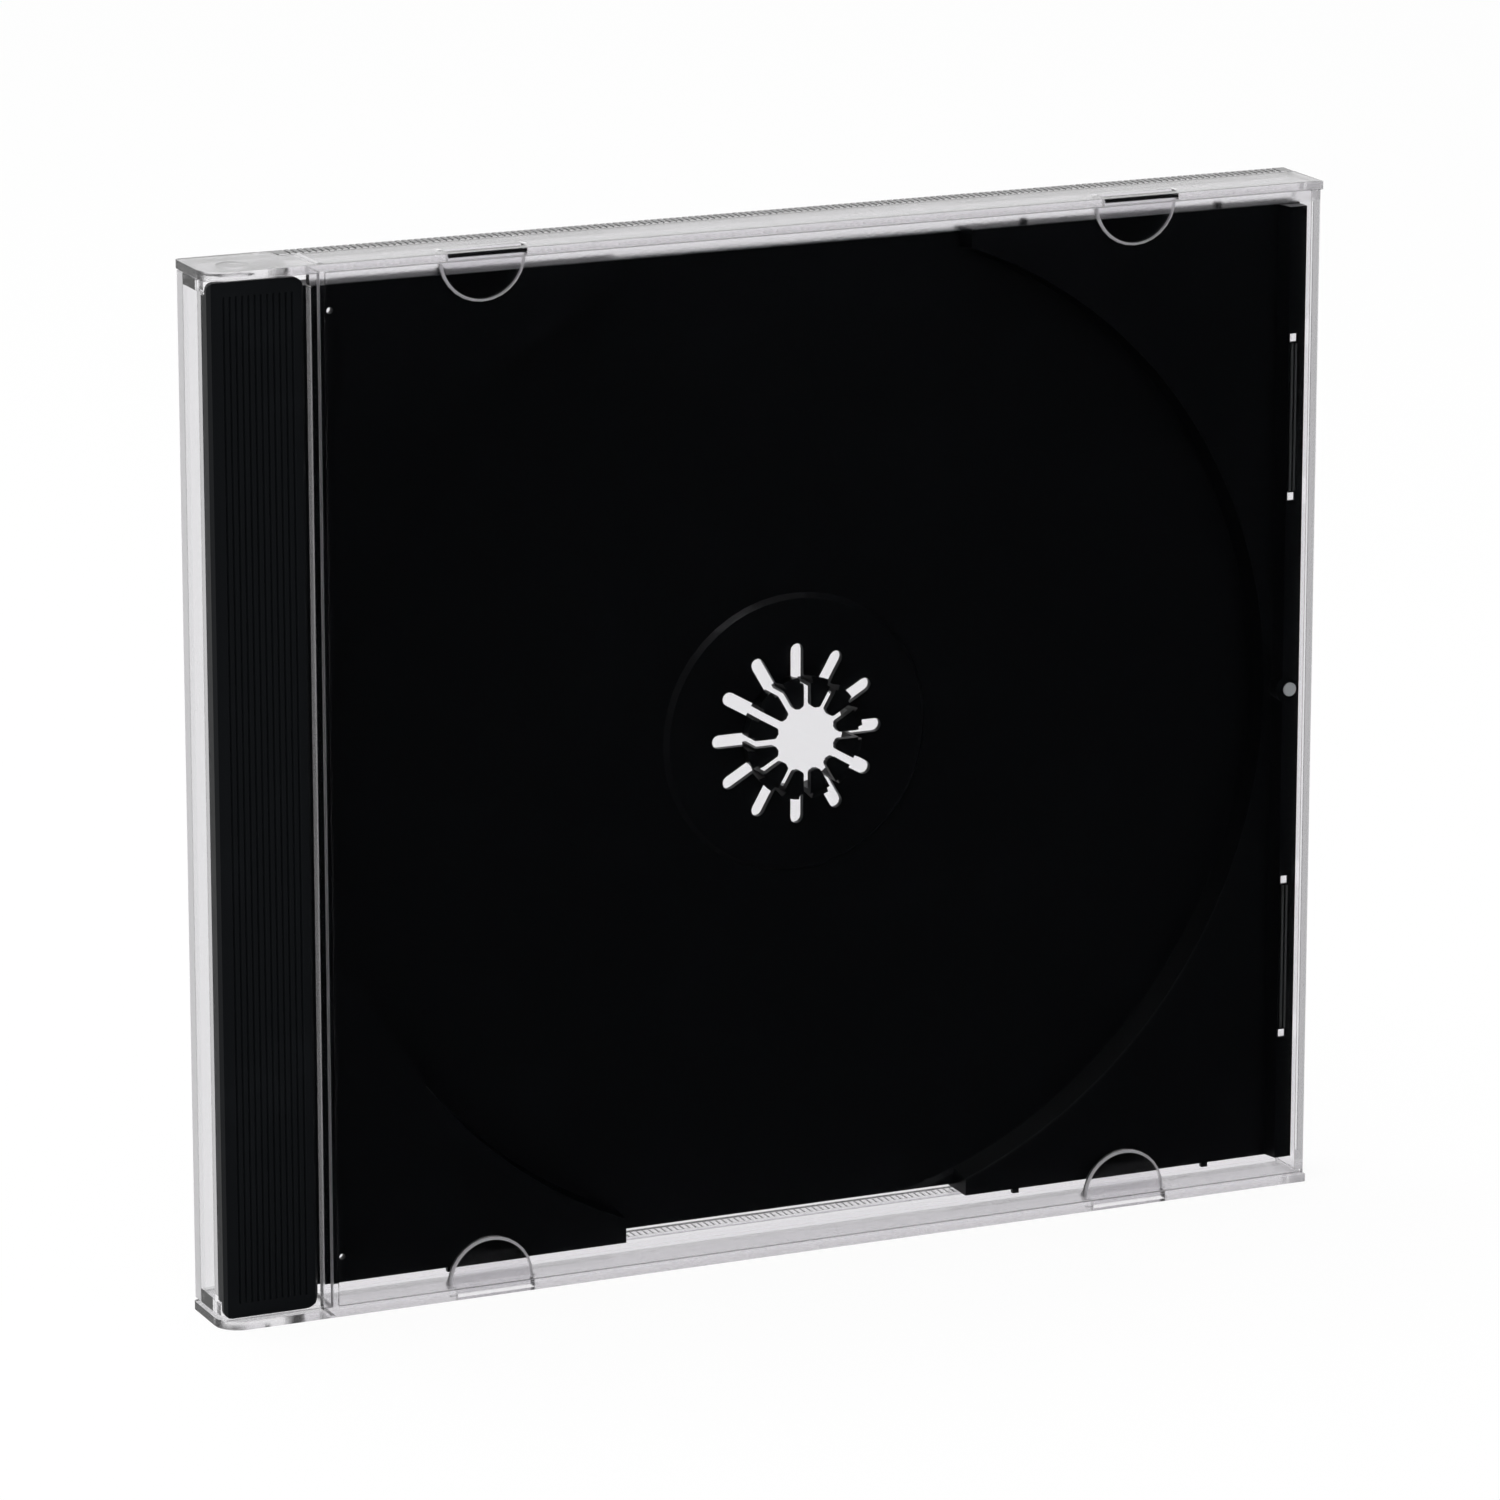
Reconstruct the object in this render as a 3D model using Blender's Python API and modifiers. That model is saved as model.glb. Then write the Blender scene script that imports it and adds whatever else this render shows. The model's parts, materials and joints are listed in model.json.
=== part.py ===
"""A standard jewel case for one disc, closed and standing on its long lower edge.

Shapes are described with the case lying on its back: x runs from the spine to the free edge, y runs
along the spine and z goes up from the back panel to the lid. Each mesh is then stood upright, lid
towards -Y, by one matrix that only swaps axes, so faces that share a plane still share it exactly.
All sizes are in metres.
"""
import math

import bmesh
import bpy
from mathutils import Matrix, Vector

# The disc that the case is made round, and the room left about it
DISC_RADIUS = 0.0600
DISC_PLAY = 0.0012
DISC_END_ROOM = 0.0025
WELL_TO_BAR = 0.0024
WELL_TO_FREE_EDGE = 0.0050

# Plastic walls and the running gap between two pieces
LID_PANEL = 0.0012
LID_WALL = 0.0010
BACK_PANEL = 0.0012
SHELL_WALL = 0.0010
INNER_RAIL_WALL = 0.0014
TRAY_WALL = 0.0010
GAP = 0.0003

# Hinge: the pegs on the lid's ears turn in holes in the back shell's cheeks
PIVOT_INSET = 0.0051
PEG_COLLAR = 0.0007
EAR_FRONT_RADIUS = 0.0030
EAR_BACK_RADIUS = 0.0006
SPINE_INSET = 0.0003
SPINE_CHANNEL = 0.0028

# Lid
PANEL_EDGE_INSET = 0.0003
BOOKLET_SPACE = 0.0016
TAB_THICKNESS = 0.0008
TAB_RADIUS = 0.0054
TAB_TO_SPINE = 0.0346
TAB_TO_FREE_EDGE = 0.0238
WINDOW_WIDTH = 0.0098
WINDOW_HEIGHT = 0.0012
RIDGE_INSET = 0.0014
RIDGE_WIDTH = 0.0008
RIDGE_DROP = 0.0007

# Back shell
RAIL_HEIGHT = 0.0024
INNER_RAIL_HEIGHT = 0.0046
SPINE_WALL_HEIGHT = 0.0066
CHEEK_LENGTH = 0.0112
CHEEK_CORNER = 0.0020
RIB_PITCH = 0.0008
RIB_GROOVE = 0.0004
RIB_DEPTH = 0.00025

# Spine bar of the tray
BAR_INSET = 0.0005
BAR_WIDTH = 0.0117
BAR_DROP = 0.0009
BAR_LEFT_CORNER = 0.0009
BAR_RIGHT_CORNER = 0.0016
BAR_BEVEL = 0.0004
BAR_GROOVE_PITCH = 0.00075
BAR_GROOVE_DEPTH = 0.00025
BAR_GROOVE_SHARE = 0.9
BAR_PLAIN_LEFT = 0.0016
BAR_PLAIN_RIGHT = 0.0009

# Disc well and the raised deck at its corners
DECK_TOP = 0.0063
WELL_DRAFT = 0.0004
FLOOR_RISE = 0.0008
GAP_TOWARDS_SPINE = 0.0234
GAP_TOWARDS_FREE_EDGE = 0.0214
FLOOR_SETBACK = 0.0006
LUG_WIDTH = 0.0008
LUG_REACH = 0.0007
LUG_TO_SPINE = 0.0300
LUG_TO_GAP = 0.0070
LUG_TO_FREE_EDGE = 0.0120

# Disc seat and hub
SEAT_RADIUS = 0.0165
SEAT_SLOPE = 0.0007
SEAT_RISE = 0.0007
HUB_RADIUS = 0.0072
HUB_LIP = 0.0003
HUB_CROWN = 0.0009
HUB_RISE = 0.0030
HUB_SHOULDER = 0.0002
HUB_NECK = 0.0006
HUB_WALL = 0.0009
HUB_OPENING = 0.0039
FINGER_ROUND = 0.0004
SLOT_COUNT = 12
SLOT_END_RADIUS = 0.0110
SLOT_WIDTH = 0.00165
SLIT_WIDTH = 0.0009

# Raised strip along the tray's free edge, with its latches and nub
STRIP_WIDTH = 0.0028
STRIP_SLOPE = 0.0005
STRIP_DROP = 0.0018
STRIP_WALL = 0.0008
LATCH_LENGTH = 0.0205
LATCH_OFFSET = 0.0337
LATCH_HOLE = 0.0010
LATCH_INSET = 0.0016
LATCH_END = 0.0012
LATCH_RIB = 0.00025
LATCH_RIB_RISE = 0.0002
NUB_INSET = 0.0014
NUB_RADIUS = 0.00085
NUB_GROOVE_RADIUS = 0.0012
NUB_BOSS_RADIUS = 0.00175
NUB_GROOVE_DEPTH = 0.0003
SIGHT_HOLE_RADIUS = 0.0004
SIGHT_HOLE_TO_BAR = 0.0040
SIGHT_HOLE_END = 0.0061

# Roundness of turned shapes
WELL_STEPS = 96
HUB_STEPS = 48
SMALL_STEPS = 20
# How far a cutter runs past what it cuts, and how far a joined body sinks into its neighbour
PAST = 0.001
SINK = 0.0002

# Places that follow from the sizes above
WELL_RADIUS = DISC_RADIUS + DISC_PLAY
BAR_END = BAR_INSET + BAR_WIDTH
PANEL_START = BAR_END + GAP
HUB_CENTRE_X = BAR_END + WELL_TO_BAR + WELL_RADIUS
CASE_WIDTH = HUB_CENTRE_X + WELL_RADIUS + WELL_TO_FREE_EDGE
CASE_HEIGHT = 2 * (DISC_RADIUS + DISC_END_ROOM)
MID_HEIGHT = CASE_HEIGHT / 2
TAB_UNDERSIDE = DECK_TOP + GAP
TAB_TOP = TAB_UNDERSIDE + TAB_THICKNESS
LID_UNDERSIDE = TAB_TOP + BOOKLET_SPACE
CASE_DEPTH = LID_UNDERSIDE + LID_PANEL
TRAY_BOTTOM = BACK_PANEL + GAP
FLOOR_BOTTOM = BACK_PANEL + FLOOR_RISE
FLOOR_TOP = FLOOR_BOTTOM + TRAY_WALL
SEAT_TOP = FLOOR_TOP + SEAT_RISE
HUB_TOP = SEAT_TOP + HUB_RISE
BAR_TOP = CASE_DEPTH - BAR_DROP
BAR_BOTTOM = BAR_TOP - TRAY_WALL
INNER_START = LID_WALL + GAP
SPINE_WALL_END = SPINE_INSET + SHELL_WALL
TRAY_START_X = SPINE_WALL_END + GAP + SPINE_CHANNEL
TRAY_END_X = CASE_WIDTH - SHELL_WALL - GAP
TRAY_START_Y = INNER_START + INNER_RAIL_WALL + GAP
TRAY_END_Y = CASE_HEIGHT - TRAY_START_Y
FINGER_GAP_START = HUB_CENTRE_X - GAP_TOWARDS_SPINE
FINGER_GAP_END = HUB_CENTRE_X + GAP_TOWARDS_FREE_EDGE
STRIP_START = TRAY_END_X - STRIP_WIDTH
STRIP_TOP = CASE_DEPTH - STRIP_DROP
PIVOT_RISE = CASE_DEPTH / 2
CHEEK_TOP = BAR_BOTTOM - GAP
PEG_RADIUS = CHEEK_TOP - PEG_COLLAR - GAP - PIVOT_RISE
EAR_REACH = EAR_BACK_RADIUS + math.hypot(PIVOT_INSET - EAR_BACK_RADIUS, PIVOT_RISE - EAR_BACK_RADIUS)
HUB_AXIS = Vector((HUB_CENTRE_X, MID_HEIGHT, 0.0))
STAND_UPRIGHT = Matrix((
    (1.0, 0.0, 0.0, -CASE_WIDTH / 2),
    (0.0, 0.0, -1.0, CASE_DEPTH / 2),
    (0.0, 1.0, 0.0, 0.0),
    (0.0, 0.0, 0.0, 1.0),
))


def collection(name):
    made = bpy.data.collections.new(name)
    bpy.context.scene.collection.children.link(made)
    return made


def clear_scene():
    for item in list(bpy.data.objects):
        bpy.data.objects.remove(item, do_unlink=True)


def plastic(name, colour, roughness, alpha=1.0):
    material = bpy.data.materials.new(name)
    material.use_nodes = True
    shader = material.node_tree.nodes["Principled BSDF"]
    shader.inputs["Base Color"].default_value = (*colour, 1.0)
    shader.inputs["Roughness"].default_value = roughness
    shader.inputs["Metallic"].default_value = 0.0
    shader.inputs["Alpha"].default_value = alpha
    return material


class Workshop:
    """Keeps the two collections, and stands each new shape upright as it is added."""

    def __init__(self):
        self.pieces = collection("jewel_case")
        self.cutters = collection("jewel_case_cutters")

    def add(self, name, mesh, kept=False):
        """Add a mesh as a kept piece, or as a shape that a Boolean uses."""
        mesh.transform(STAND_UPRIGHT)
        item = bpy.data.objects.new(name, mesh)
        if kept:
            self.pieces.objects.link(item)
        else:
            self.cutters.objects.link(item)
            item.hide_render = True
            item.display_type = "WIRE"
        return item

    def box(self, name, low, high, kept=False):
        low = Vector(low)
        high = Vector(high)
        mesh = bpy.data.meshes.new(name)
        shape = bmesh.new()
        bmesh.ops.create_cube(shape, size=1.0)
        bmesh.ops.scale(shape, vec=high - low, verts=shape.verts)
        bmesh.ops.translate(shape, vec=(low + high) / 2, verts=shape.verts)
        shape.to_mesh(mesh)
        shape.free()
        return self.add(name, mesh, kept)

    def cone(self, name, start, end, start_radius, end_radius, steps):
        """A round body from start to end, along any direction, with a radius at each end."""
        start = Vector(start)
        end = Vector(end)
        along = end - start
        turn = along.to_track_quat("Z", "Y").to_matrix().to_4x4()
        mesh = bpy.data.meshes.new(name)
        shape = bmesh.new()
        bmesh.ops.create_cone(
            shape,
            cap_ends=True,
            segments=steps,
            radius1=start_radius,
            radius2=end_radius,
            depth=along.length,
            matrix=Matrix.Translation((start + end) / 2) @ turn,
        )
        shape.to_mesh(mesh)
        shape.free()
        return self.add(name, mesh)

    def rod(self, name, start, end, radius, steps=SMALL_STEPS):
        """A round bar of one radius."""
        return self.cone(name, start, end, radius, radius, steps)

    def disc(self, name, bottom, top, bottom_radius, top_radius, steps):
        """A round body on the hub's axis, between two heights."""
        start = (HUB_CENTRE_X, MID_HEIGHT, bottom)
        end = (HUB_CENTRE_X, MID_HEIGHT, top)
        return self.cone(name, start, end, bottom_radius, top_radius, steps)

    def plate(self, name, outline, thickness, matrix, kept=False):
        """A flat outline with a thickness, filled as a curve and turned into a welded mesh."""
        curve = bpy.data.curves.new(name, "CURVE")
        curve.dimensions = "2D"
        curve.fill_mode = "BOTH"
        curve.extrude = thickness / 2
        spline = curve.splines.new("POLY")
        spline.points.add(len(outline) - 1)
        for point, (x, y) in zip(spline.points, outline):
            point.co = (x, y, 0.0, 1.0)
        spline.use_cyclic_u = True
        guide = bpy.data.objects.new(name + "_outline", curve)
        self.cutters.objects.link(guide)
        graph = bpy.context.evaluated_depsgraph_get()
        mesh = bpy.data.meshes.new_from_object(guide.evaluated_get(graph))
        bpy.data.objects.remove(guide, do_unlink=True)
        shape = bmesh.new()
        shape.from_mesh(mesh)
        bmesh.ops.remove_doubles(shape, verts=shape.verts, dist=1e-7)
        bmesh.ops.transform(shape, matrix=matrix, verts=shape.verts)
        bmesh.ops.recalc_face_normals(shape, faces=shape.faces)
        shape.to_mesh(mesh)
        shape.free()
        return self.add(name, mesh, kept)

    def turned(self, name, profile, steps):
        """A closed profile of (radius, height) points, turned about the hub's axis with a flat towards +x."""
        mesh = bpy.data.meshes.new(name)
        shape = bmesh.new()
        points = [shape.verts.new((radius, 0.0, height)) for radius, height in profile]
        for first, second in zip(points, points[1:] + points[:1]):
            shape.edges.new((first, second))
        shape.to_mesh(mesh)
        shape.free()
        guide = bpy.data.objects.new(name + "_profile", mesh)
        self.cutters.objects.link(guide)
        screw = guide.modifiers.new("Turn", "SCREW")
        screw.steps = steps
        screw.render_steps = steps
        screw.use_merge_vertices = True
        screw.merge_threshold = 0.000001
        graph = bpy.context.evaluated_depsgraph_get()
        solid = bpy.data.meshes.new_from_object(guide.evaluated_get(graph))
        bpy.data.objects.remove(guide, do_unlink=True)
        solid.transform(Matrix.Translation(HUB_AXIS) @ Matrix.Rotation(math.pi / steps, 4, "Z"))
        return self.add(name, solid)

    @staticmethod
    def boolean(piece, tool, operation):
        step = piece.modifiers.new(tool.name, "BOOLEAN")
        step.operation = operation
        step.object = tool
        step.solver = "EXACT"

    def cut(self, piece, *tools):
        for tool in tools:
            self.boolean(piece, tool, "DIFFERENCE")

    def join(self, piece, *tools):
        for tool in tools:
            self.boolean(piece, tool, "UNION")

    def clip(self, piece, tool):
        self.boolean(piece, tool, "INTERSECT")


def arc(centre, radius, start, end, steps):
    """Points along an arc, from the start angle to the end angle in degrees."""
    points = []
    for index in range(steps + 1):
        angle = math.radians(start + (end - start) * index / steps)
        points.append((centre[0] + radius * math.cos(angle), centre[1] + radius * math.sin(angle)))
    return points


def along_spine(middle):
    """Turn a flat (x, y) outline into an (x, z) outline whose thickness is centred at y = middle."""
    return Matrix.Translation((0.0, middle, 0.0)) @ Matrix.Rotation(math.radians(90), 4, "X")


def both_ends(depth_from_end):
    """The same distance measured from the lower end and from the upper end of the spine."""
    return (depth_from_end, CASE_HEIGHT - depth_from_end)


def hang_on_hinge(shop, piece):
    """Parent a piece to an empty on the hinge axis, and leave the piece where it is."""
    hinge = bpy.data.objects.new("lid_hinge", None)
    shop.pieces.objects.link(hinge)
    hinge.location = STAND_UPRIGHT @ Vector((PIVOT_INSET, MID_HEIGHT, PIVOT_RISE))
    piece.parent = hinge
    piece.matrix_parent_inverse = Matrix.Translation(-hinge.location)


def ear_and_wall_outline():
    """The lid's side wall seen along the spine: full depth round the pivot, short past it."""
    pivot = (PIVOT_INSET, PIVOT_RISE)
    wall_foot = RAIL_HEIGHT + GAP
    foot_angle = math.degrees(math.asin((wall_foot - PIVOT_RISE) / EAR_REACH))
    back_angle = math.degrees(math.asin(-PIVOT_RISE / EAR_REACH))
    front = (EAR_FRONT_RADIUS, CASE_DEPTH - EAR_FRONT_RADIUS)
    back = (EAR_BACK_RADIUS, EAR_BACK_RADIUS)
    outline = [(CASE_WIDTH, CASE_DEPTH)]
    outline += arc(front, EAR_FRONT_RADIUS, 90, 180, 6)
    outline += arc(back, EAR_BACK_RADIUS, 180, 270, 3)
    outline += arc(pivot, EAR_REACH, back_angle, foot_angle, 4)
    outline += [(CASE_WIDTH, wall_foot)]
    return outline


def make_lid(shop, material):
    """The clear front: panel, two side walls with ears and pegs, and four booklet tabs."""
    panel_low = (PANEL_START, LID_WALL / 2, LID_UNDERSIDE)
    panel_end = CASE_WIDTH - PANEL_EDGE_INSET
    panel_high = (panel_end, CASE_HEIGHT - LID_WALL / 2, CASE_DEPTH - SINK / 2)
    lid = shop.box("front_lid", panel_low, panel_high, kept=True)
    lid.data.materials.append(material)
    ridge_start = PANEL_START + RIDGE_INSET
    ridge_low = (ridge_start, LID_WALL / 2 + SINK, LID_UNDERSIDE - RIDGE_DROP)
    ridge_high = (ridge_start + RIDGE_WIDTH, CASE_HEIGHT - LID_WALL / 2 - SINK, LID_UNDERSIDE + SINK)
    shop.join(lid, shop.box("lid_booklet_ridge", ridge_low, ridge_high))
    for end, wall_middle in enumerate(both_ends(LID_WALL / 2)):
        inward = 1 if end == 0 else -1
        wall_face = wall_middle + inward * LID_WALL / 2
        wall = shop.plate(f"lid_wall_{end}", ear_and_wall_outline(), LID_WALL, along_spine(wall_middle))
        shop.join(lid, wall)
        peg_start = (PIVOT_INSET, wall_face - inward * SINK, PIVOT_RISE)
        peg_end = (PIVOT_INSET, wall_face + inward * (SHELL_WALL + GAP), PIVOT_RISE)
        shop.join(lid, shop.rod(f"lid_peg_{end}", peg_start, peg_end, PEG_RADIUS))
        for place, tab_x in enumerate((TAB_TO_SPINE, CASE_WIDTH - TAB_TO_FREE_EDGE)):
            half_moon = arc((tab_x, wall_face), TAB_RADIUS, 0, 180 * inward, 14)
            half_moon += [(tab_x - TAB_RADIUS, wall_face - inward * SINK)]
            half_moon += [(tab_x + TAB_RADIUS, wall_face - inward * SINK)]
            middle = Matrix.Translation((0.0, 0.0, (TAB_TOP + TAB_UNDERSIDE) / 2))
            shop.join(lid, shop.plate(f"lid_tab_{end}{place}", half_moon, TAB_THICKNESS, middle))
            window_low = (tab_x - WINDOW_WIDTH / 2, wall_middle - LID_WALL, TAB_TOP)
            window_high = (tab_x + WINDOW_WIDTH / 2, wall_middle + LID_WALL, TAB_TOP + WINDOW_HEIGHT)
            shop.cut(lid, shop.box(f"lid_window_{end}{place}", window_low, window_high))
    hang_on_hinge(shop, lid)


def ribbed_rail(shop, name, outer, inner):
    """The back shell's outer rail along one long edge, with fine grooves across its outer face."""
    low = (PIVOT_INSET, min(outer, inner), 0.0)
    high = (CASE_WIDTH, max(outer, inner), RAIL_HEIGHT)
    rail = shop.box(name, low, high)
    first = PIVOT_INSET + EAR_REACH + GAP + RIB_PITCH
    count = round((CASE_WIDTH - RIB_PITCH - first) / RIB_PITCH)
    half = RIB_GROOVE / 2
    inward = 1 if inner > outer else -1
    notch = [
        (first - half, outer - inward * RIB_DEPTH),
        (first + half, outer - inward * RIB_DEPTH),
        (first, outer + inward * RIB_DEPTH),
    ]
    middle = Matrix.Translation((0.0, 0.0, RAIL_HEIGHT / 2))
    grooves = shop.plate(name + "_grooves", notch, RAIL_HEIGHT + 2 * PAST, middle)
    repeat = grooves.modifiers.new("Repeat", "ARRAY")
    repeat.use_relative_offset = False
    repeat.use_constant_offset = True
    repeat.constant_offset_displace = (RIB_PITCH, 0.0, 0.0)
    repeat.count = count
    shop.cut(rail, grooves)
    return rail


def cheek_outline():
    """A hinge cheek seen along the spine, with a rounded corner towards the lid's panel."""
    corner = (CHEEK_LENGTH - CHEEK_CORNER, CHEEK_TOP - CHEEK_CORNER)
    outline = [(SPINE_INSET + SINK, SINK), (CHEEK_LENGTH, SINK)]
    outline += arc(corner, CHEEK_CORNER, 0, 90, 5)
    outline += [(SPINE_INSET + SINK, CHEEK_TOP)]
    return outline


def make_back_shell(shop, material):
    """The clear back: panel, spine wall, free-edge wall, rails and the two hinge cheeks."""
    panel_low = (SPINE_INSET, INNER_START, 0.0)
    panel_high = (CASE_WIDTH, CASE_HEIGHT - INNER_START, BACK_PANEL)
    shell = shop.box("back_shell", panel_low, panel_high, kept=True)
    shell.data.materials.append(material)
    wall_ends = (INNER_START, CASE_HEIGHT - INNER_START)
    spine_low = (SPINE_INSET, wall_ends[0], SINK)
    spine_high = (SPINE_WALL_END, wall_ends[1], SPINE_WALL_HEIGHT)
    edge_low = (CASE_WIDTH - SHELL_WALL, wall_ends[0], SINK)
    edge_high = (CASE_WIDTH, wall_ends[1], LID_UNDERSIDE - GAP)
    shop.join(shell, shop.box("shell_spine_wall", spine_low, spine_high))
    shop.join(shell, shop.box("shell_free_edge_wall", edge_low, edge_high))
    for end, outer in enumerate(both_ends(0.0)):
        inward = 1 if end == 0 else -1
        start = outer + inward * INNER_START
        finish = start + inward * INNER_RAIL_WALL
        shop.join(shell, ribbed_rail(shop, f"shell_rail_{end}", outer, start + inward * SINK))
        inner_low = (CHEEK_LENGTH - SINK, min(start, finish), SINK)
        inner_high = (CASE_WIDTH - SINK, max(start, finish), INNER_RAIL_HEIGHT)
        shop.join(shell, shop.box(f"shell_inner_rail_{end}", inner_low, inner_high))
        middle = along_spine((start + finish) / 2)
        shop.join(shell, shop.plate(f"shell_cheek_{end}", cheek_outline(), INNER_RAIL_WALL, middle))
        hole_start = (PIVOT_INSET, start - inward * PAST, PIVOT_RISE)
        hole_end = (PIVOT_INSET, finish + inward * PAST, PIVOT_RISE)
        shop.cut(shell, shop.rod(f"shell_peg_hole_{end}", hole_start, hole_end, PEG_RADIUS + GAP))
        sweep_start = (PIVOT_INSET, outer - inward * PAST, PIVOT_RISE)
        sweep_end = (PIVOT_INSET, start, PIVOT_RISE)
        shop.cut(shell, shop.rod(f"shell_ear_sweep_{end}", sweep_start, sweep_end, EAR_REACH + GAP, 64))


def add_hub(shop, tray):
    """Seat and hub: a flat round seat with a turned ring on it, both hollowed from below."""
    seat_foot = SEAT_RADIUS + SEAT_SLOPE
    shop.join(tray, shop.disc("tray_seat", FLOOR_TOP - SINK, SEAT_TOP, seat_foot, SEAT_RADIUS, HUB_STEPS))
    profile = [
        (HUB_OPENING, HUB_TOP),
        (HUB_RADIUS - HUB_CROWN, HUB_TOP),
        (HUB_RADIUS - HUB_LIP, HUB_TOP - HUB_SHOULDER),
        (HUB_RADIUS + HUB_LIP, HUB_TOP - HUB_NECK),
        (HUB_RADIUS, SEAT_TOP + HUB_NECK),
        (HUB_RADIUS, SEAT_TOP - SINK),
        (HUB_OPENING, SEAT_TOP - SINK),
    ]
    shop.join(tray, shop.turned("tray_hub", profile, HUB_STEPS))
    below = FLOOR_BOTTOM - PAST
    under_seat = SEAT_TOP - TRAY_WALL + SINK
    under_hub = HUB_TOP - HUB_WALL
    seat_inside = SEAT_RADIUS - TRAY_WALL
    hub_inside = HUB_RADIUS - HUB_WALL
    shop.cut(tray, shop.disc("tray_seat_underside", below, under_seat, seat_inside, seat_inside, HUB_STEPS))
    shop.cut(tray, shop.disc("tray_hub_underside", below, under_hub, hub_inside, hub_inside, HUB_STEPS))


def slot_outline():
    """One hub slot: a slit that opens out between the fingers' round tips, then a wide round-ended slot."""
    half_slit = SLIT_WIDTH / 2
    half_slot = SLOT_WIDTH / 2
    slot_start = HUB_RADIUS - HUB_WALL / 2
    tip = (half_slit + FINGER_ROUND, HUB_OPENING + FINGER_ROUND)
    right = [(tip[0], HUB_OPENING - 2 * FINGER_ROUND)]
    right += arc(tip, FINGER_ROUND, 270, 180, 3)
    right += [(half_slit, slot_start), (half_slot, slot_start)]
    end = arc((0.0, SLOT_END_RADIUS - half_slot), half_slot, 0, 180, 6)
    left = [(-x, y) for x, y in reversed(right)]
    return right + end + left


def cut_hub_slots(shop, tray):
    """Twelve slots through the hub and the seat, between the hub's springy fingers."""
    for index in range(SLOT_COUNT):
        turn = Matrix.Translation(HUB_AXIS) @ Matrix.Rotation(math.tau * index / SLOT_COUNT, 4, "Z")
        middle = Matrix.Translation((0.0, 0.0, (FLOOR_BOTTOM + HUB_TOP) / 2))
        height = HUB_TOP - FLOOR_BOTTOM + 2 * PAST
        shop.cut(tray, shop.plate(f"tray_slot_{index:02d}", slot_outline(), height, turn @ middle))


def along_bar(x, bevel):
    """A long three-sided cutter that takes one upper edge off the bar; bevel points away from the edge."""
    return [
        (x + bevel + math.copysign(PAST, bevel), BAR_TOP + PAST),
        (x - math.copysign(PAST, bevel), BAR_TOP + PAST),
        (x - math.copysign(PAST, bevel), BAR_TOP - BAR_BEVEL - PAST),
    ]


def add_spine_bar(shop, tray):
    """The ridged bar over the spine wall, raised above the deck and hollow underneath."""
    inset = SINK / 2
    block_low = (TRAY_START_X + inset, TRAY_START_Y + inset, DECK_TOP - SINK)
    block_high = (BAR_END - inset, TRAY_END_Y - inset, BAR_TOP - TRAY_WALL / 2)
    shop.join(tray, shop.box("tray_bar_block", block_low, block_high))
    channel_low = (TRAY_START_X + TRAY_WALL, TRAY_START_Y + TRAY_WALL, TRAY_BOTTOM - PAST)
    channel_high = (BAR_END - TRAY_WALL, TRAY_END_Y - TRAY_WALL, BAR_BOTTOM - inset)
    shop.cut(tray, shop.box("tray_bar_channel", channel_low, channel_high))
    low_y = INNER_START
    high_y = CASE_HEIGHT - INNER_START
    left = BAR_INSET + BAR_LEFT_CORNER
    right = BAR_END - BAR_RIGHT_CORNER
    outline = arc((left, low_y + BAR_LEFT_CORNER), BAR_LEFT_CORNER, 180, 270, 4)
    outline += arc((right, low_y + BAR_RIGHT_CORNER), BAR_RIGHT_CORNER, 270, 360, 6)
    outline += arc((right, high_y - BAR_RIGHT_CORNER), BAR_RIGHT_CORNER, 0, 90, 6)
    outline += arc((left, high_y - BAR_LEFT_CORNER), BAR_LEFT_CORNER, 90, 180, 4)
    middle = Matrix.Translation((0.0, 0.0, (BAR_TOP + BAR_BOTTOM) / 2))
    bar = shop.plate("tray_bar", outline, TRAY_WALL, middle)
    lip_low = (BAR_INSET + inset, TRAY_START_Y, SPINE_WALL_HEIGHT + GAP)
    lip_high = (SPINE_WALL_END + GAP, TRAY_END_Y, BAR_BOTTOM + SINK)
    shop.join(bar, shop.box("tray_bar_lip", lip_low, lip_high))
    for side, cutter in enumerate((along_bar(BAR_INSET, BAR_BEVEL), along_bar(BAR_END, -BAR_BEVEL))):
        shop.cut(bar, shop.plate(f"tray_bar_bevel_{side}", cutter, CASE_HEIGHT, along_spine(MID_HEIGHT)))
    first = BAR_INSET + BAR_PLAIN_LEFT + BAR_GROOVE_PITCH / 2
    count = round((BAR_WIDTH - BAR_PLAIN_LEFT - BAR_PLAIN_RIGHT) / BAR_GROOVE_PITCH)
    half = BAR_GROOVE_PITCH / 2 * BAR_GROOVE_SHARE
    notch = [
        (first - half, BAR_TOP + BAR_GROOVE_DEPTH),
        (first, BAR_TOP - BAR_GROOVE_DEPTH),
        (first + half, BAR_TOP + BAR_GROOVE_DEPTH),
    ]
    length = CASE_HEIGHT - 2 * TRAY_START_Y
    grooves = shop.plate("tray_bar_grooves", notch, length, along_spine(MID_HEIGHT))
    repeat = grooves.modifiers.new("Repeat", "ARRAY")
    repeat.use_relative_offset = False
    repeat.use_constant_offset = True
    repeat.constant_offset_displace = (BAR_GROOVE_PITCH, 0.0, 0.0)
    repeat.count = count
    shop.cut(bar, grooves)
    shop.join(tray, bar)


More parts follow.
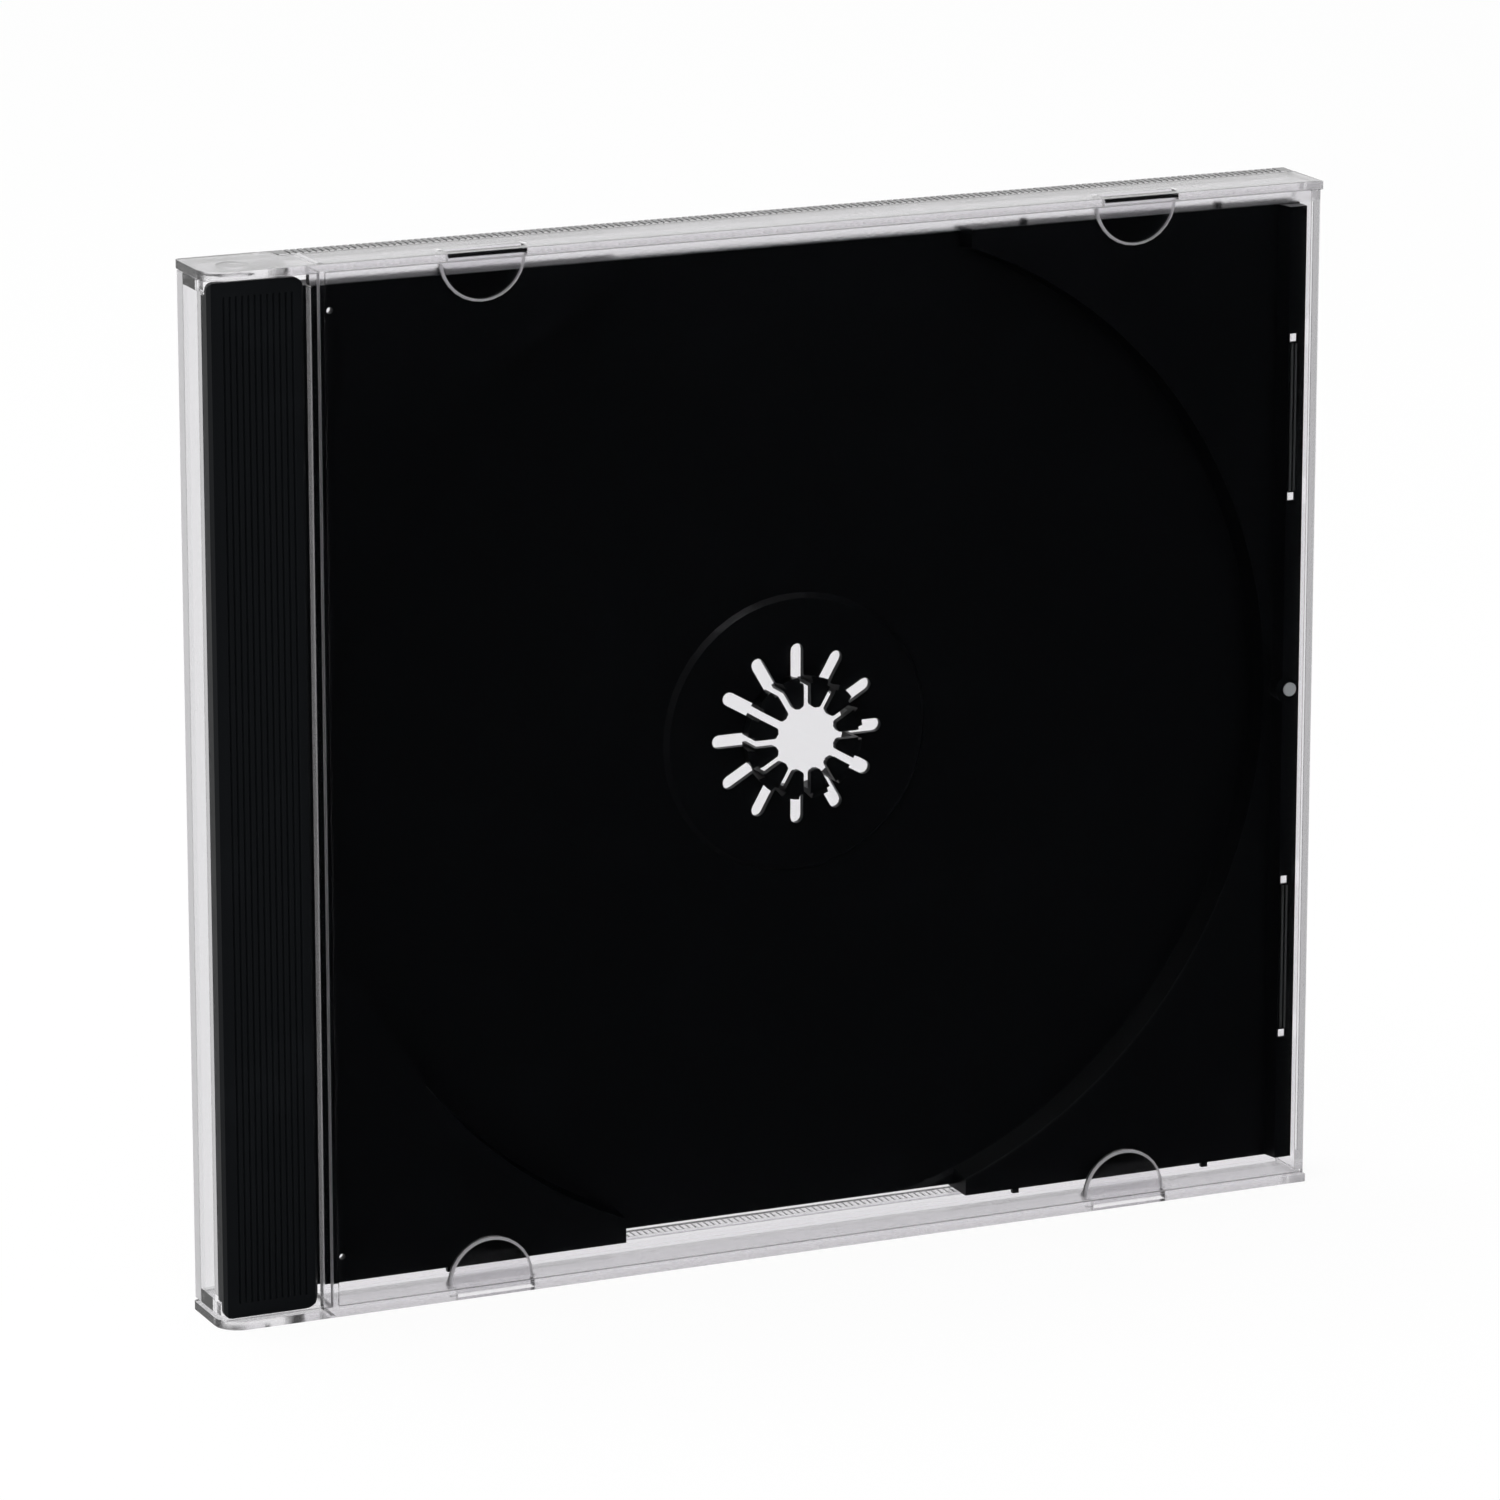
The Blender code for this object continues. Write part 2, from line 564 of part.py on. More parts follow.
def add_free_edge_strip(shop, tray):
    """The strip that rises to the lid along the free edge, with two latches and the nub's round boss."""
    edge = TRAY_END_X - SINK / 2
    outline = [
        (STRIP_START, DECK_TOP - SINK),
        (edge, DECK_TOP - SINK),
        (edge, STRIP_TOP),
        (STRIP_START + STRIP_SLOPE, STRIP_TOP),
    ]
    length = TRAY_END_Y - TRAY_START_Y - SINK
    strip = shop.plate("tray_strip", outline, length, along_spine(MID_HEIGHT))
    shop.join(tray, strip)
    nub_x = TRAY_END_X - NUB_INSET
    boss_low = (nub_x, MID_HEIGHT, DECK_TOP - TRAY_WALL / 2)
    boss_high = (nub_x, MID_HEIGHT, STRIP_TOP - SINK / 4)
    boss = shop.rod("tray_nub_boss", boss_low, boss_high, NUB_BOSS_RADIUS, 2 * SMALL_STEPS)
    limit_high = (TRAY_END_X - SINK, CASE_HEIGHT, CASE_DEPTH)
    shop.clip(boss, shop.box("tray_nub_boss_limit", (0.0, 0.0, 0.0), limit_high))
    shop.join(tray, boss)
    latch_x = TRAY_END_X - LATCH_INSET
    for side, direction in enumerate((-1, 1)):
        middle = MID_HEIGHT + direction * LATCH_OFFSET
        hollow = (LATCH_LENGTH - SINK) / 2
        hollow_low = (latch_x - LATCH_HOLE / 2, middle - hollow, DECK_TOP - TRAY_WALL - PAST)
        hollow_high = (latch_x + LATCH_HOLE / 2, middle + hollow, STRIP_TOP - STRIP_WALL)
        shop.cut(tray, shop.box(f"tray_latch_hollow_{side}", hollow_low, hollow_high))
        for place, reach in enumerate((-1, 1)):
            hole_y = middle + reach * (LATCH_LENGTH - LATCH_HOLE) / 2
            low = (latch_x - LATCH_HOLE / 2, hole_y - LATCH_HOLE / 2, DECK_TOP - TRAY_WALL - PAST)
            high = (latch_x + LATCH_HOLE / 2, hole_y + LATCH_HOLE / 2, STRIP_TOP + PAST)
            shop.cut(tray, shop.box(f"tray_latch_hole_{side}{place}", low, high))
            rib_x = latch_x + reach * (LATCH_HOLE / 2 - LATCH_RIB)
            half_length = LATCH_LENGTH / 2 - LATCH_END
            rib_low = (rib_x - LATCH_RIB / 2, middle - half_length, STRIP_TOP - SINK)
            rib_high = (rib_x + LATCH_RIB / 2, middle + half_length, STRIP_TOP + LATCH_RIB_RISE)
            shop.join(tray, shop.box(f"tray_latch_rib_{side}{place}", rib_low, rib_high))
    groove_low = (nub_x, MID_HEIGHT, STRIP_TOP - NUB_GROOVE_DEPTH)
    groove_high = (nub_x, MID_HEIGHT, STRIP_TOP + PAST)
    shop.cut(tray, shop.rod("tray_nub_groove", groove_low, groove_high, NUB_GROOVE_RADIUS))
    nub_low = (nub_x, MID_HEIGHT, STRIP_TOP - NUB_GROOVE_DEPTH - SINK)
    nub_high = (nub_x, MID_HEIGHT, STRIP_TOP + LATCH_RIB_RISE)
    shop.join(tray, shop.rod("tray_nub", nub_low, nub_high, NUB_RADIUS))


def add_edge_details(shop, tray):
    """Small lugs that reach over the inner rails, and two sight holes beside the bar."""
    for end, (edge, hole_y) in enumerate(zip((TRAY_START_Y, TRAY_END_Y), both_ends(SIGHT_HOLE_END))):
        outward = -1 if end == 0 else 1
        for index, x in enumerate((LUG_TO_SPINE, FINGER_GAP_END + LUG_TO_GAP, CASE_WIDTH - LUG_TO_FREE_EDGE)):
            tip = edge + outward * LUG_REACH
            root = edge - outward * SINK
            low = (x - LUG_WIDTH / 2, min(tip, root), DECK_TOP - TRAY_WALL)
            high = (x + LUG_WIDTH / 2, max(tip, root), DECK_TOP - 2 * SINK)
            shop.join(tray, shop.box(f"tray_lug_{end}{index}", low, high))
        low = (BAR_END + SIGHT_HOLE_TO_BAR, hole_y, DECK_TOP - TRAY_WALL - PAST)
        high = (BAR_END + SIGHT_HOLE_TO_BAR, hole_y, DECK_TOP + PAST)
        shop.cut(tray, shop.rod(f"tray_sight_hole_{end}", low, high, SIGHT_HOLE_RADIUS, 12))


def make_tray(shop, material):
    """The black tray: hollow raised corners, disc well, seat, slotted hub, spine bar and edge strip."""
    low = (TRAY_START_X, TRAY_START_Y, TRAY_BOTTOM)
    high = (TRAY_END_X, TRAY_END_Y, DECK_TOP)
    tray = shop.box("disc_tray", low, high, kept=True)
    tray.data.materials.append(material)
    pocket_low = (TRAY_START_X + TRAY_WALL, TRAY_START_Y + TRAY_WALL, TRAY_BOTTOM - PAST)
    pocket_high = (TRAY_END_X - TRAY_WALL, TRAY_END_Y - TRAY_WALL, DECK_TOP - TRAY_WALL)
    shop.cut(tray, shop.box("tray_underside_pocket", pocket_low, pocket_high))
    blank_top = DECK_TOP - TRAY_WALL / 2
    inside_low = TRAY_START_Y + TRAY_WALL / 2
    inside_high = TRAY_END_Y - TRAY_WALL / 2
    blank_radius = WELL_RADIUS + TRAY_WALL
    blank = shop.disc("tray_bowl_blank", FLOOR_BOTTOM, blank_top, blank_radius, blank_radius, WELL_STEPS)
    clip_low = (0.0, inside_low, 0.0)
    clip_high = (CASE_WIDTH, inside_high, CASE_DEPTH)
    shop.clip(blank, shop.box("tray_bowl_limits", clip_low, clip_high))
    bridge_low = (FINGER_GAP_START - TRAY_WALL, inside_low + SINK, FLOOR_BOTTOM + SINK / 2)
    bridge_high = (FINGER_GAP_END + TRAY_WALL, inside_high - SINK, blank_top - SINK)
    bridge = shop.box("tray_finger_gap_walls", bridge_low, bridge_high)
    foot_radius = WELL_RADIUS - WELL_DRAFT
    well = shop.disc("tray_well", FLOOR_TOP, DECK_TOP + SINK, foot_radius, WELL_RADIUS, WELL_STEPS)
    gap_low = (FINGER_GAP_START, 0.0, FLOOR_TOP)
    gap_high = (FINGER_GAP_END, CASE_HEIGHT, CASE_DEPTH - SINK)
    shop.join(tray, blank, bridge)
    shop.cut(tray, well, shop.box("tray_finger_gap", gap_low, gap_high))
    for end, edge in enumerate((TRAY_START_Y, TRAY_END_Y)):
        low = (FINGER_GAP_START, edge - FLOOR_SETBACK, TRAY_BOTTOM - PAST)
        high = (FINGER_GAP_END, edge + FLOOR_SETBACK, FLOOR_TOP + PAST)
        shop.cut(tray, shop.box(f"tray_floor_setback_{end}", low, high))
    add_hub(shop, tray)
    cut_hub_slots(shop, tray)
    add_spine_bar(shop, tray)
    add_free_edge_strip(shop, tray)
    add_edge_details(shop, tray)


def main():
    clear_scene()
    shop = Workshop()
    clear_plastic = plastic("clear_plastic", (0.93, 0.94, 0.95), 0.05, alpha=0.25)
    clear_back = plastic("clear_back_plastic", (0.92, 0.93, 0.95), 0.06, alpha=0.25)
    black_plastic = plastic("black_plastic", (0.012, 0.013, 0.015), 0.35)
    make_back_shell(shop, clear_back)
    make_tray(shop, black_plastic)
    make_lid(shop, clear_plastic)


main()
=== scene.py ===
import json
import math

import bpy
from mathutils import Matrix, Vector

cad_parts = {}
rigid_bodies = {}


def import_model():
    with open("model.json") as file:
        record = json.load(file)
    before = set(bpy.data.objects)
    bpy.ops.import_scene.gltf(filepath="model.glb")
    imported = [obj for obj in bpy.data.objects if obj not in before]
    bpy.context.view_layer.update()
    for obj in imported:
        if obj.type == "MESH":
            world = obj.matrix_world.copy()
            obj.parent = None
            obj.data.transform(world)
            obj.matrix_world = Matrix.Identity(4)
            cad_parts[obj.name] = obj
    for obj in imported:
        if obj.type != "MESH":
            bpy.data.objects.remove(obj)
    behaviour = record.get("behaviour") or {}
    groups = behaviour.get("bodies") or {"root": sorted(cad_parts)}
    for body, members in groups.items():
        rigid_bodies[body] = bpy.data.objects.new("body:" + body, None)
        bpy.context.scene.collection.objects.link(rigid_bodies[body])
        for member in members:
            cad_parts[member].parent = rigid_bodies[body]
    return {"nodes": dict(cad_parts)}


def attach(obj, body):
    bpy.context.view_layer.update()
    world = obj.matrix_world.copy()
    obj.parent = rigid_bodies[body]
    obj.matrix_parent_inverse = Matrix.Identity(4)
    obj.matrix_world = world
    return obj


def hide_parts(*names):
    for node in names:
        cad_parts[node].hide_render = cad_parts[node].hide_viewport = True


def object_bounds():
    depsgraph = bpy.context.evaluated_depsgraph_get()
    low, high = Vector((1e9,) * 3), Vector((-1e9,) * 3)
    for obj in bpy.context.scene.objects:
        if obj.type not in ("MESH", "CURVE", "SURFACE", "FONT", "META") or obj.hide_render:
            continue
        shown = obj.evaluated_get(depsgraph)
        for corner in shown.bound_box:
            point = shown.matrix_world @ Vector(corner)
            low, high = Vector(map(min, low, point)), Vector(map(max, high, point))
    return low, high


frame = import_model()

bl_info = {
    "name": "Jewel Case Finish",
    "version": (1, 0, 0),
    "blender": (4, 5, 0),
    "location": "3D View > Sidebar > Jewel Case",
    "description": "Finishes the moulded plastic shells of a disc jewel case and sets up its studio",
    "category": "Object",
}

# All places are in the frame's metres: X runs from the spine to the free edge, Y from the front to the back
# Half of the case's height, and how deep the frosting of the two long walls goes
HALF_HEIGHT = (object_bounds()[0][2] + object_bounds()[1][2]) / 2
FROST_DEPTH = 0.0026
# The lid's panel: its inner face, hinge edge and ridge, and how far from the middle its walls begin
PANEL_BACK = -0.0039
HINGE_EDGE = -0.0585
RIDGE_X = -0.0571
WALL_INSIDE = 0.0604
# The half-moon tabs that hold a booklet: their radius, faces and middles on the two long walls
TAB_RADIUS = 0.0054
TAB_LEVELS = (-0.0023, -0.0015)
TAB_MIDDLES = ((-0.0364, 0.001), (0.0472, 0.001), (-0.0364, 0.124), (0.0472, 0.124))
# The windows in the lid's walls over the tabs: how deep they lie, half of their length, and half of the wall
WINDOW_LEVEL = -0.0029
WINDOW_REACH = 0.0049
HALF_WALL = 0.0005
# The spine's outer corner on the back shell
SPINE_OUTSIDE = -0.0706
SPINE_BACK = 0.0034
# The tray's well, halfway down its wall
WELL_MIDDLE = (0.0048, 0.0625)
WELL_RADIUS = 0.0610
WELL_LEVEL = 0.0004
# The strip along the tray's free edge: its face, the two latches' square holes, and the nub
STRIP_LEVEL = -0.0033
STRIP_START = 0.0655
LATCH_X = 0.0681
LATCH_HOLES = (0.01905, 0.03855, 0.08645, 0.10595)
HALF_LATCH_HOLE = 0.0005
NUB_X = 0.0683
NUB_RADIUS = 0.0010
# The side windows that open the strip beside the latch holes
SIDE_WINDOW_REACH = 0.0019
SIDE_WINDOW_END = 0.0702
SIDE_WINDOW_BACK = 0.0032
SIDE_WINDOW_SILL = 0.0004
# How close two points count as one, and up to which angle two faces are smoothed into a round
CLOSE = 0.00004
SMOOTH_ANGLE = 50.0
WHITE = (1.0, 1.0, 1.0, 1.0)
# The surround seen in reflections: a dark room in front of the case and a dimmer screen behind it
DARK_FRONT = (0.40, -0.88, -0.25)
DARK_FRONT_ANGLES = (80.0, 58.0)
SCREEN = (-0.36, 0.90, -0.22)
SCREEN_ANGLES = (42.0, 22.0)
SCREEN_SHADE = 0.4


# Materials

def as_input(tree, socket, value):
    """Gives a node's socket a link or a plain value."""
    if isinstance(value, Wire):
        tree.links.new(value.socket, socket)
    elif isinstance(value, bpy.types.NodeSocket):
        tree.links.new(value, socket)
    else:
        socket.default_value = value


class Wire:
    """A shader socket that takes part in Python sums."""

    def __init__(self, shader, socket):
        self.shader = shader
        self.socket = socket

    def math(self, operation, *values):
        return self.shader.node("ShaderNodeMath", {"operation": operation}, dict(enumerate(values)))

    def __add__(self, other):
        return self.math("ADD", self, other)

    def __radd__(self, other):
        return self.math("ADD", other, self)

    def __sub__(self, other):
        return self.math("SUBTRACT", self, other)

    def __rsub__(self, other):
        return self.math("SUBTRACT", other, self)

    def __mul__(self, other):
        return self.math("MULTIPLY", self, other)

    def __rmul__(self, other):
        return self.math("MULTIPLY", other, self)

    def maximum(self, other):
        return self.math("MAXIMUM", self, other)

    def minimum(self, other):
        return self.math("MINIMUM", self, other)

    def absolute(self):
        return self.math("ABSOLUTE", self)

    def root(self):
        return self.math("SQRT", self)

    def near(self, place, reach):
        """1 at the place, and nothing further from it than the reach."""
        return 1 - (self - place).absolute().between(0.6 * reach, reach)

    def between(self, low, high, start=0.0, end=1.0):
        """Runs smoothly from start to end as the value goes from low to high."""
        sockets = {"Value": self, "From Min": low, "From Max": high, "To Min": start, "To Max": end}
        settings = {"interpolation_type": "SMOOTHSTEP"}
        return self.shader.node("ShaderNodeMapRange", settings, sockets)


class Shader:
    """Writes one node tree."""

    def __init__(self, tree):
        self.tree = tree
        tree.nodes.clear()

    def node(self, kind, settings=None, sockets=None, output=0):
        made = self.tree.nodes.new(kind)
        for name, value in (settings or {}).items():
            setattr(made, name, value)
        for name, value in (sockets or {}).items():
            as_input(self.tree, made.inputs[name], value)
        return Wire(self, made.outputs[output])

    def place(self):
        return self.node("ShaderNodeTexCoord", output="Object")

    def stretched(self, scale):
        """Object coordinates, with the pattern's own size along each axis."""
        sockets = {0: self.place(), 1: scale}
        return self.node("ShaderNodeVectorMath", {"operation": "MULTIPLY"}, sockets)

    def noise(self, scale, detail=2.0, vector=None):
        sockets = {"Vector": vector or self.place(), "Scale": scale, "Detail": detail}
        return self.node("ShaderNodeTexNoise", None, sockets)

    def mixed(self, factor, first, second):
        settings = {"data_type": "RGBA"}
        sockets = {0: factor, 6: first, 7: second}
        return self.node("ShaderNodeMix", settings, sockets, output=2)

    def bump(self, height, distance, strength=1.0, normal=None):
        sockets = {"Height": height, "Distance": distance, "Strength": strength}
        if normal:
            sockets["Normal"] = normal
        return self.node("ShaderNodeBump", None, sockets)

    def part_of(self, vector, axis):
        """One coordinate of a vector: 0 is X, 1 is Y and 2 is Z."""
        return self.node("ShaderNodeSeparateXYZ", None, {0: vector}, output=axis)

    def plastic(self, sockets):
        return self.node("ShaderNodeBsdfPrincipled", None, sockets)

    def blend(self, factor, first, second):
        """One surface changing into another."""
        return self.node("ShaderNodeMixShader", None, {0: factor, 1: first, 2: second})

    def finish(self, kind, surface):
        end = self.tree.nodes.new(kind)
        as_input(self.tree, end.inputs["Surface"], surface)


def new_material(name):
    material = bpy.data.materials.new(name)
    material.use_nodes = True
    return material, Shader(material.node_tree)


def dimmed(colour, share):
    return tuple(share * part for part in colour[:3]) + (1.0,)


def tab_places(x, z):
    """How far a point is from the nearest tab's middle, along the wall and in all."""
    along = (x - TAB_MIDDLES[0][0]).absolute().minimum((x - TAB_MIDDLES[1][0]).absolute())
    upward = (z - HALF_HEIGHT).absolute() - (HALF_HEIGHT - TAB_MIDDLES[0][1])
    return along, (along * along + upward * upward).root()


def marks_on_lid(x, y, z):
    """Where the lid gets painted highlights of matt white (edges, ridge, tab rims, inner corner), and where
    its top windows get a painted shadow.
    """
    from_middle = (z - HALF_HEIGHT).absolute()
    between_walls = 1 - from_middle.between(WALL_INSIDE - 0.0004, WALL_INSIDE)
    behind_panel = y.between(PANEL_BACK + 0.00001, PANEL_BACK + 0.00005)
    edge = (1 - x.between(HINGE_EDGE + 0.00012, HINGE_EDGE + 0.0002)) * between_walls
    ridge = x.near(RIDGE_X, 0.00032) * behind_panel
    corner = from_middle.near(HALF_HEIGHT - TAB_MIDDLES[0][1], 0.0002) * y.near(PANEL_BACK, 0.00015)
    along, reach = tab_places(x, z)
    front = y.near(TAB_LEVELS[0] + 0.0001, 0.0002)
    back = y.near(TAB_LEVELS[1] - 0.0001, 0.0002)
    rim = reach.near(TAB_RADIUS - 0.00005, 0.00036) * front.maximum(0.3 * back)
    # Painted highlights: matt white on the hinge edge, the ridge, the tab rims and the inner corner, standing
    # in for the light piped along them
    painted_highlight = (0.25 * edge).maximum(0.42 * ridge).maximum(rim).maximum(0.5 * corner)
    # Painted shadow: a dark line in the top windows only, standing in for the shadow gap at the window's edge
    in_window = (1 - along.between(WINDOW_REACH - 0.0001, WINDOW_REACH)) * y.near(WINDOW_LEVEL, 0.0011)
    dark = in_window * z.near(2 * HALF_HEIGHT - HALF_WALL, 0.00024)
    return painted_highlight, dark


def marks_on_back(x, y, z):
    """Where the back gets a painted highlight of matt white, along the long corner behind the spine, and that
    it gets no painted shadow.
    """
    # Painted highlight along the spine's long back corner
    beside_spine = 1 - x.between(SPINE_OUTSIDE, SPINE_OUTSIDE + 0.0001)
    return 0.5 * beside_spine * y.between(SPINE_BACK - 0.0004, SPINE_BACK), 0.0


def clear_styrene(name, finish, wall_roughness, marks):
    """Clear glossy styrene with hairlines, mould flow and finger haze, frosted along its two long walls, with
    painted highlights of matt white and a painted shadow where the marks put them.
    """
    material, shader = new_material(name)
    colour = tuple(finish.clear_colour)
    frosted = tuple(finish.frosted_colour)
    handling = finish.handling
    x, y, z = (shader.part_of(shader.place(), axis) for axis in range(3))
    from_middle = (z - HALF_HEIGHT).absolute()
    wall = from_middle.between(HALF_HEIGHT - FROST_DEPTH, HALF_HEIGHT - FROST_DEPTH + 0.0004)
    painted_highlight, dark = marks(x, y, z)
    flow = shader.noise(38.0, 1.0)
    haze = shader.noise(95.0, 4.0).between(0.52, 0.80)
    grain = shader.noise(2600.0, 2.0)
    across = shader.stretched((900.0, 900.0, 14.0))
    along = shader.stretched((14.0, 900.0, 900.0))
    upright = shader.noise(1.0, 1.0, across).between(0.70, 0.78)
    level = shader.noise(1.0, 1.0, along).between(0.71, 0.79)
    hairlines = upright.maximum(level)
    worn = haze * handling
    clean = shader.mixed(flow, colour, dimmed(colour, 0.985))
    milky = shader.mixed(grain, frosted, dimmed(frosted, 0.94))
    tint = shader.mixed(wall, clean, milky)
    polished = finish.clear_roughness + 0.05 * worn + 0.06 * hairlines * handling
    gloss = polished + wall * wall_roughness * (0.7 + 0.6 * grain) + painted_highlight * finish.ground_roughness
    waves = shader.bump(flow, 0.00004, 0.5)
    texture = shader.bump(grain * wall, 0.00002, 0.5, waves)
    scratched = shader.bump(hairlines, 0.000004, 0.35 * handling, texture)
    glass = shader.plastic({
        "Base Color": tint,
        "Roughness": gloss.minimum(1.0),
        "IOR": 1.58,
        "Transmission Weight": 1.0,
        "Normal": scratched,
    })
    # Matt white for the painted highlights
    matt = shader.plastic({"Base Color": milky, "Roughness": 0.6, "IOR": 1.58, "Normal": texture})
    # Black satin plastic for the painted shadow in the lid's top windows
    black = tuple(finish.black_colour)
    painted_shadow = shader.plastic({"Base Color": black, "Roughness": 0.6, "Specular IOR Level": 0.1})
    # The painted highlights and then the painted shadow are laid over the clear plastic
    with_painted_highlights = shader.blend(painted_highlight * finish.painted_highlight_share, glass, matt)
    shader.finish("ShaderNodeOutputMaterial", shader.blend(dark, with_painted_highlights, painted_shadow))
    return material


def painted_light_on_tray(x, y, z):
    """How far the tray's colour is lifted by painted light: on the strip with the latches' ribs, standing in
    for light through the slits beside the latches, on the nub, and on the well's lower right wall, which
    faces the light from above.
    """
    upward = z - WELL_MIDDLE[1]
    across = x - WELL_MIDDLE[0]
    reach = (across * across + upward * upward).root()
    lower_right = z.between(0.0, 0.055, 1.0, 0.0) * x.between(0.0, 0.02)
    well_wall = reach.near(WELL_RADIUS, 0.0005) * y.near(WELL_LEVEL, 0.0025) * lower_right
    raised = (1 - y.between(STRIP_LEVEL - 0.0001, STRIP_LEVEL)) * x.between(STRIP_START - 0.0005, STRIP_START)
    nub_across = x - NUB_X
    from_nub = (nub_across * nub_across + upward * upward).root()
    nub = raised * (1 - from_nub.between(NUB_RADIUS - 0.0002, NUB_RADIUS))
    # Painted light: the strip, the nub and the well's lower right wall are lifted towards pale grey
    return (0.078 * raised).maximum(0.65 * nub).maximum(0.0182 * well_wall)


def black_styrene(name, colour, roughness, handling):
    """Deep black moulded styrene: satin, with flow marks, a little paler where it has been rubbed, and with
    painted light on the strip, the nub and the well's lower right wall.
    """
    material, shader = new_material(name)
    x, y, z = (shader.part_of(shader.place(), axis) for axis in range(3))
    grain = shader.noise(3400.0, 3.0)
    flow = shader.noise(24.0, 2.0)
    rubbed = shader.noise(130.0, 4.0).between(0.50, 0.75)
    lift = tuple(1.5 * part + 0.0004 for part in colour[:3]) + (1.0,)
    plain = shader.mixed(rubbed * handling, colour, lift)
    # Painted light lifts the strip, the nub and the well's lower right wall towards pale grey
    tint = shader.mixed(painted_light_on_tray(x, y, z), plain, (0.95, 1.0, 1.0, 1.0))
    gloss = roughness + 0.07 * (grain - 0.5) + 0.05 * flow - 0.06 * rubbed * handling
    fine = shader.bump(grain, 0.000012, 0.35)
    normal = shader.bump(flow, 0.00003, 0.3, fine)
    plastic = shader.plastic({
        "Base Color": tint,
        "Roughness": gloss,
        "IOR": 1.55,
        "Specular IOR Level": 0.10,
        "Normal": normal,
    })
    shader.finish("ShaderNodeOutputMaterial", plastic)
    return material


# Mesh helpers

def choose(*objects):
    """Leaves only these objects selected, and the last one active."""
    bpy.ops.object.select_all(action="DESELECT")
    for chosen in objects:
        chosen.select_set(True)
    bpy.context.view_layer.objects.active = objects[-1]


def apply_all(piece):
    choose(piece)
    for modifier in list(piece.modifiers):
        bpy.ops.object.modifier_apply(modifier=modifier.name)


def smooth(piece):
    """Smooths the small rounds while the broad faces stay truly flat, as they do in a polished mould."""
    choose(piece)
    bpy.ops.object.shade_smooth_by_angle(angle=math.radians(SMOOTH_ANGLE))
    weighted = piece.modifiers.new("Flat faces", "WEIGHTED_NORMAL")
    weighted.mode = "FACE_AREA"
    weighted.weight = 50
    weighted.keep_sharp = True
    apply_all(piece)


def welded_copy(node, name):
    """A copy of a solid of the frame as a new piece, with its loose triangles joined into whole faces."""
    choose(frame["nodes"][node])
    bpy.ops.object.duplicate()
    piece = bpy.context.view_layer.objects.active
    bpy.ops.object.parent_clear(type="CLEAR_KEEP_TRANSFORM")
    for key in list(piece.keys()):
        del piece[key]
    piece.name = name
    piece.data.name = name
    bpy.ops.object.mode_set(mode="EDIT")
    bpy.ops.mesh.select_all(action="SELECT")
    bpy.ops.mesh.remove_doubles(threshold=0.000001)
    bpy.ops.mesh.dissolve_limited(angle_limit=math.radians(0.4))
    bpy.ops.object.mode_set(mode="OBJECT")
    return piece


def on_tab_rim(point):
    """Whether a corner of the lid's mesh lies on the curved edge of a tab."""
    if min(abs(point.y - level) for level in TAB_LEVELS) > CLOSE:
        return False
    reach = min(math.hypot(point.x - x, point.z - z) for x, z in TAB_MIDDLES)
    return abs(reach - TAB_RADIUS) < CLOSE


def round_tab_rims(lid, width, steps):
    """Gives the curved edges of the tabs the fuller round that pipes the light along them."""
    choose(lid)
    bpy.ops.object.mode_set(mode="EDIT")
    bpy.ops.mesh.select_mode(type="EDGE")
    bpy.ops.mesh.select_all(action="DESELECT")
    bpy.ops.object.mode_set(mode="OBJECT")
    mesh = lid.data
    found = 0
    for edge in mesh.edges:
        start, end = (mesh.vertices[corner].co for corner in edge.vertices)
        if abs(start.y - end.y) < CLOSE and on_tab_rim(start) and on_tab_rim(end):
            edge.select = True
            found += 1
    if not found:
        raise RuntimeError("No tab rim was found on the lid")
    bpy.ops.object.mode_set(mode="EDIT")
    bpy.ops.mesh.bevel(offset=width, offset_type="OFFSET", segments=steps, affect="EDGES", clamp_overlap=True)
    bpy.ops.object.mode_set(mode="OBJECT")


def open_latch_windows(tray):
    """Opens the strip's outer side beside each latch hole, where the back shell's catches would snap in."""
    for height in LATCH_HOLES:
        before = len(tray.data.polygons)
        low = Vector((LATCH_X - HALF_LATCH_HOLE, STRIP_LEVEL + SIDE_WINDOW_SILL, height - SIDE_WINDOW_REACH))
        high = Vector((SIDE_WINDOW_END, SIDE_WINDOW_BACK, height + SIDE_WINDOW_REACH))
        bpy.ops.object.select_all(action="DESELECT")
        bpy.ops.mesh.primitive_cube_add(size=1.0, location=(low + high) / 2, scale=high - low)
        cutter = bpy.context.view_layer.objects.active
        opening = tray.modifiers.new("Latch window", "BOOLEAN")
        opening.operation = "DIFFERENCE"
        opening.solver = "EXACT"
        opening.object = cutter
        apply_all(tray)
        choose(cutter)
        bpy.ops.object.delete()
        if len(tray.data.polygons) <= before:
            raise RuntimeError("A latch window did not open in the tray")


def break_edges(piece, width, steps):
    """Rounds the sharp edges by a mould's own small radius."""
    bevel = piece.modifiers.new("Edge break", "BEVEL")
    bevel.width = width
    bevel.segments = steps
    bevel.limit_method = "ANGLE"
    bevel.angle_limit = math.radians(40.0)
    bevel.use_clamp_overlap = True
    apply_all(piece)
    smooth(piece)


def dressed(piece, body, material):
    piece.data.materials.clear()
    piece.data.materials.append(material)
    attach(piece, body)


# Settings

